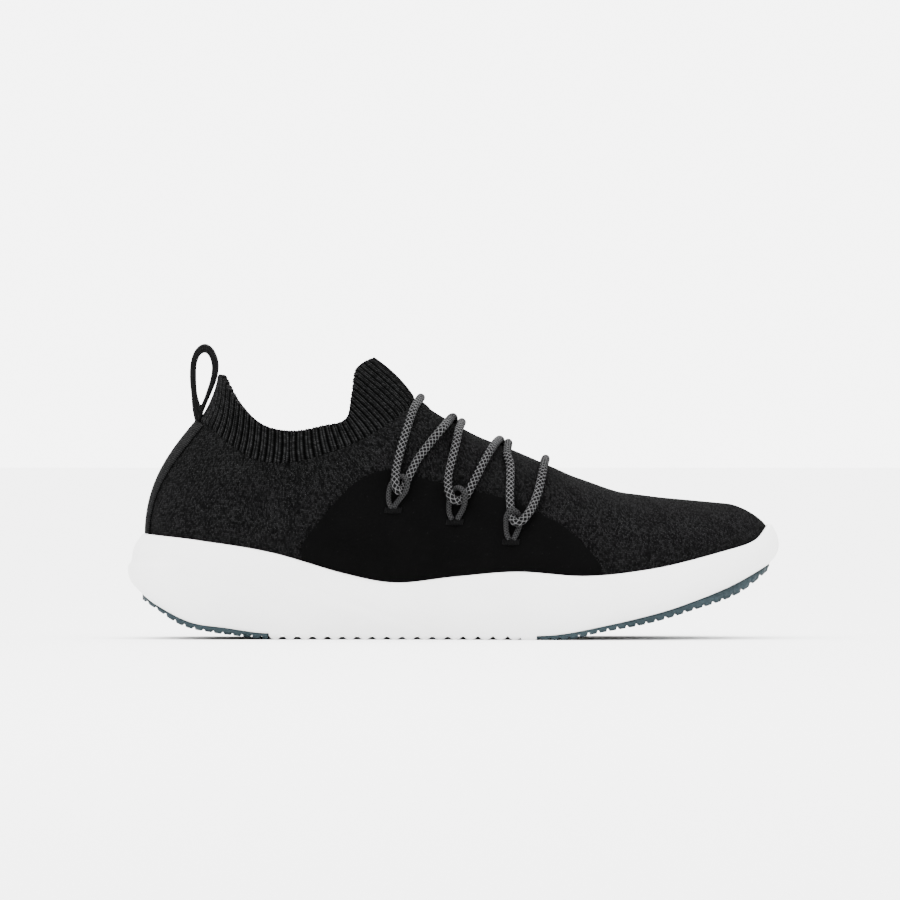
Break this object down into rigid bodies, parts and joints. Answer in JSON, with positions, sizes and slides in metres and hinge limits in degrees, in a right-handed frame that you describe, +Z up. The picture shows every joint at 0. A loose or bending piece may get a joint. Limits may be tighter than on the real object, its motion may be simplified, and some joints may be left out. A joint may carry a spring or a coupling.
{
  "type": "running shoe",
  "caption": "Right-foot knitted slip-on running shoe with rib collar, side overlays, elastic lace through cord loops, heel pull loop and a two-part outsole.",
  "frame": {"origin": "on the ground under the middle of the sole's bounding box", "axes": "+X from heel to toe, +Z up, -Y to the lateral (outer) side of this right shoe"},
  "size_m": [0.3, 0.1062, 0.1357],
  "materials": {
    "midsole_foam": "matte moulded EVA foam",
    "outsole_rubber": "matte slate-blue rubber",
    "board": "non-woven board",
    "sockliner_foam": "open-cell foam",
    "sockliner_cloth": "brushed polyester cloth",
    "upper_knit": "heather flat knit",
    "rib_knit": "rib knit",
    "overlay": "matte bonded synthetic suede",
    "stiffener": "thermoplastic sheet",
    "lining": "brushed lining knit",
    "webbing": "woven webbing",
    "lace": "braided elastic cord",
    "lace_loop_cord": "braided cord",
    "stitching": "satin-stitched thread"
  },
  "bodies": {
    "root": {"midsole": "midsole_foam", "heel_outsole": "outsole_rubber", "forefoot_outsole": "outsole_rubber", "strobel_board": "board", "sockliner_foam": "sockliner_foam", "sockliner_cloth": "sockliner_cloth", "knit_body": "upper_knit", "rib_collar": "rib_knit", "lateral_overlay": "overlay", "medial_overlay": "overlay", "heel_counter": "stiffener", "toe_puff": "stiffener", "heel_lining": "lining", "heel_tape": "webbing", "lace": "lace", "lace_loop_lateral_1": "lace_loop_cord", "lace_loop_lateral_2": "lace_loop_cord", "lace_loop_lateral_3": "lace_loop_cord", "lace_loop_medial_1": "lace_loop_cord", "lace_loop_medial_2": "lace_loop_cord", "lace_loop_medial_3": "lace_loop_cord", "bartack_lateral_1": "stitching", "bartack_lateral_2": "stitching", "bartack_lateral_3": "stitching", "bartack_medial_1": "stitching", "bartack_medial_2": "stitching", "bartack_medial_3": "stitching"},
    "pull_loop": {"pull_loop": "webbing"}
  },
  "joints": [
    {"name": "pull_loop_flex", "type": "hinge", "parent": "root", "child": "pull_loop", "pos_m": [-0.1183, 0, 0.1043], "axis": [0, -1, 0], "range_deg": [0, 70], "stiffness_Nm_per_rad": 0.01}
  ]
}
